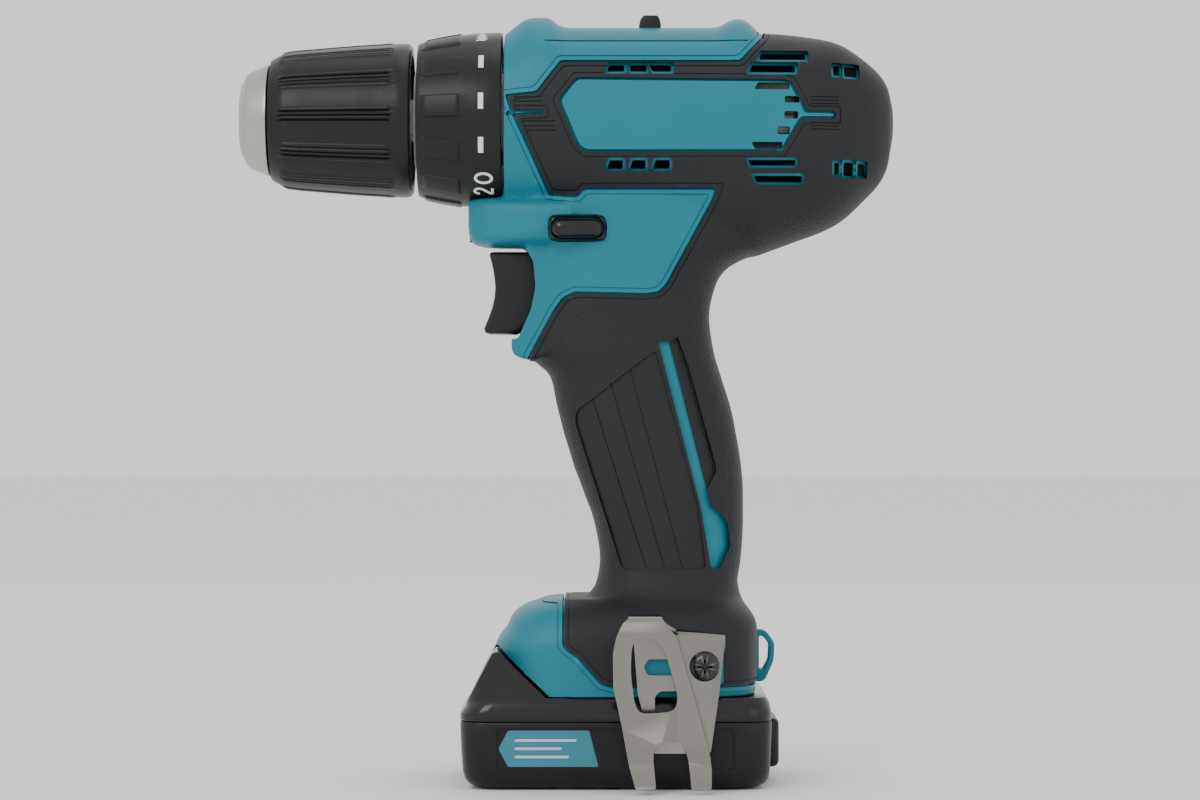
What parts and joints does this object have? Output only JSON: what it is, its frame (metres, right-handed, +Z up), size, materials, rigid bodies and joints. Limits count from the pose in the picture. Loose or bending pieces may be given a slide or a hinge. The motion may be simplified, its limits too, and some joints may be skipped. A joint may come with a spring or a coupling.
{
  "type": "cordless drill driver",
  "caption": "Compact cordless pistol-grip drill driver with keyless chuck, torque ring, speed and direction selectors, belt clip and slide-in battery pack.",
  "frame": {"origin": "middle of the battery's flat base, where the standing tool meets the bench", "axes": "+Z up from the battery to the barrel, -X along the spindle out of the chuck, -Y out of the tool's left side"},
  "size_m": [0.1786, 0.0752, 0.2093],
  "materials": {
    "teal_plastic": "fine-grained moulded nylon",
    "black_rubber": "moulded soft grip cover",
    "black_plastic": "moulded hard plastic",
    "satin_steel": "turned and satin finished",
    "nickel_steel": "bright nickel-plated sheet",
    "dark_steel": "oiled dark steel",
    "screw_black": "black oxide",
    "copper_wound": "lacquered copper winding over steel",
    "lamp_plastic": "clear lens",
    "grey_plastic": "moulded hard plastic",
    "cell_wrap": "shrink film over the cell"
  },
  "bodies": {
    "tool": {"housing_left": "teal_plastic", "housing_right": "teal_plastic", "grip_cover_left": "black_rubber", "grip_cover_right": "black_rubber", "lamp_lens": "lamp_plastic", "belt_clip": "nickel_steel", "belt_clip_screw": "screw_black", "housing_screw_1": "screw_black", "housing_screw_2": "screw_black", "housing_screw_3": "screw_black", "housing_screw_4": "screw_black", "housing_screw_5": "screw_black", "housing_screw_6": "screw_black", "gear_case": "dark_steel", "spindle_bearing": "satin_steel", "ring_gear_output": "dark_steel", "clutch_plate": "dark_steel", "clutch_spring": "satin_steel", "motor_can": "dark_steel", "motor_end_cap": "black_plastic", "motor_magnet_1": "dark_steel", "motor_magnet_2": "dark_steel", "switch_body": "grey_plastic", "trigger_spring": "satin_steel", "terminal_block": "grey_plastic"},
    "spindle_set": {"spindle": "satin_steel", "chuck_body": "satin_steel", "chuck_screw": "dark_steel", "chuck_back_ring": "satin_steel", "carrier_output": "dark_steel"},
    "sleeve_set": {"chuck_sleeve": "black_plastic", "chuck_nut": "dark_steel"},
    "jaw_1": {"chuck_jaw_1": "dark_steel"},
    "jaw_2": {"chuck_jaw_2": "dark_steel"},
    "jaw_3": {"chuck_jaw_3": "dark_steel"},
    "torque_ring": {"torque_ring": "black_plastic"},
    "clutch_nut": {"clutch_nut": "grey_plastic"},
    "carrier_input": {"carrier_input": "dark_steel"},
    "planet_output_1": {"planet_output_1": "dark_steel"},
    "planet_output_2": {"planet_output_2": "dark_steel"},
    "planet_output_3": {"planet_output_3": "dark_steel"},
    "planet_input_1": {"planet_input_1": "dark_steel"},
    "planet_input_2": {"planet_input_2": "dark_steel"},
    "planet_input_3": {"planet_input_3": "dark_steel"},
    "rotor": {"armature_shaft": "copper_wound", "motor_pinion": "dark_steel", "cooling_fan": "grey_plastic"},
    "ring_gear_input": {"ring_gear_input": "dark_steel"},
    "trigger": {"trigger": "black_plastic"},
    "direction_lever": {"direction_lever": "black_plastic"},
    "speed_selector": {"speed_selector": "black_plastic"},
    "battery": {"battery_case_lower": "black_plastic", "battery_case_upper": "black_plastic", "battery_cell_1": "cell_wrap", "battery_cell_2": "cell_wrap", "battery_cell_3": "cell_wrap", "latch_spring": "satin_steel"},
    "battery_latch": {"battery_latch": "grey_plastic"}
  },
  "joints": [
    {"name": "chuck_spin", "type": "hinge", "parent": "tool", "child": "spindle_set", "pos_m": [0, 0, 0.1808], "axis": [1, 0, 0], "continuous": true},
    {"name": "motor_spin", "type": "hinge", "parent": "tool", "child": "rotor", "pos_m": [0, 0, 0.1808], "axis": [1, 0, 0], "continuous": true},
    {"name": "carrier_input_spin", "type": "hinge", "parent": "tool", "child": "carrier_input", "pos_m": [0, 0, 0.1808], "axis": [1, 0, 0], "continuous": true},
    {"name": "planet_output_1_spin", "type": "hinge", "parent": "spindle_set", "child": "planet_output_1", "pos_m": [0, 0, 0.19025], "axis": [1, 0, 0], "continuous": true},
    {"name": "planet_output_2_spin", "type": "hinge", "parent": "spindle_set", "child": "planet_output_2", "pos_m": [0, 0.00818, 0.17608], "axis": [1, 0, 0], "continuous": true},
    {"name": "planet_output_3_spin", "type": "hinge", "parent": "spindle_set", "child": "planet_output_3", "pos_m": [0, -0.00818, 0.17608], "axis": [1, 0, 0], "continuous": true},
    {"name": "planet_input_1_spin", "type": "hinge", "parent": "carrier_input", "child": "planet_input_1", "pos_m": [0, 0, 0.19025], "axis": [1, 0, 0], "continuous": true},
    {"name": "planet_input_2_spin", "type": "hinge", "parent": "carrier_input", "child": "planet_input_2", "pos_m": [0, 0.00818, 0.17608], "axis": [1, 0, 0], "continuous": true},
    {"name": "planet_input_3_spin", "type": "hinge", "parent": "carrier_input", "child": "planet_input_3", "pos_m": [0, -0.00818, 0.17608], "axis": [1, 0, 0], "continuous": true},
    {"name": "sleeve_turn", "type": "hinge", "parent": "spindle_set", "child": "sleeve_set", "pos_m": [0, 0, 0.1808], "axis": [1, 0, 0], "range_deg": [0, 1800]},
    {"name": "jaw_1_slide", "type": "slide", "parent": "spindle_set", "child": "jaw_1", "axis": [-0.9659, 0, -0.2588], "range_m": [0, 0.0175]},
    {"name": "jaw_2_slide", "type": "slide", "parent": "spindle_set", "child": "jaw_2", "axis": [-0.9659, -0.2241, 0.1294], "range_m": [0, 0.0175]},
    {"name": "jaw_3_slide", "type": "slide", "parent": "spindle_set", "child": "jaw_3", "axis": [-0.9659, 0.2241, 0.1294], "range_m": [0, 0.0175]},
    {"name": "torque_ring_turn", "type": "hinge", "parent": "tool", "child": "torque_ring", "pos_m": [0, 0, 0.1808], "axis": [1, 0, 0], "range_deg": [-240, 60]},
    {"name": "clutch_nut_slide", "type": "slide", "parent": "tool", "child": "clutch_nut", "axis": [1, 0, 0], "range_m": [-0.0048, 0.0013], "deforming": ["clutch_spring"]},
    {"name": "speed_shift", "type": "slide", "parent": "tool", "child": "speed_selector", "axis": [1, 0, 0], "range_m": [0, 0.008]},
    {"name": "ring_gear_input_slide", "type": "slide", "parent": "tool", "child": "ring_gear_input", "axis": [1, 0, 0], "range_m": [0, 0.004]},
    {"name": "direction_shift", "type": "slide", "parent": "tool", "child": "direction_lever", "axis": [0, 1, 0], "range_m": [-0.003, 0.003]},
    {"name": "trigger_pull", "type": "slide", "parent": "tool", "child": "trigger", "axis": [1, 0, 0], "range_m": [0, 0.006], "stiffness_N_per_m": 500, "deforming": ["trigger_spring"]},
    {"name": "battery_slide", "type": "slide", "parent": "tool", "child": "battery", "axis": [-1, 0, 0], "range_m": [0, 0.08]},
    {"name": "latch_press", "type": "slide", "parent": "battery", "child": "battery_latch", "axis": [0, 0, -1], "range_m": [0, 0.0024], "stiffness_N_per_m": 1200, "deforming": ["latch_spring"]}
  ],
  "couplings": [
    {"joint": "motor_spin", "follows": "chuck_spin", "ratio": 16},
    {"joint": "carrier_input_spin", "follows": "chuck_spin", "ratio": 4},
    {"joint": "planet_output_1_spin", "follows": "chuck_spin", "ratio": -3},
    {"joint": "planet_output_2_spin", "follows": "chuck_spin", "ratio": -3},
    {"joint": "planet_output_3_spin", "follows": "chuck_spin", "ratio": -3},
    {"joint": "planet_input_1_spin", "follows": "chuck_spin", "ratio": -12},
    {"joint": "planet_input_2_spin", "follows": "chuck_spin", "ratio": -12},
    {"joint": "planet_input_3_spin", "follows": "chuck_spin", "ratio": -12},
    {"joint": "jaw_1_slide", "follows": "sleeve_turn", "m_per_rad": 0.00055704},
    {"joint": "jaw_2_slide", "follows": "sleeve_turn", "m_per_rad": 0.00055704},
    {"joint": "jaw_3_slide", "follows": "sleeve_turn", "m_per_rad": 0.00055704},
    {"joint": "clutch_nut_slide", "follows": "torque_ring_turn", "m_per_rad": 0.0011},
    {"joint": "ring_gear_input_slide", "follows": "speed_shift", "ratio": 0.5}
  ]
}
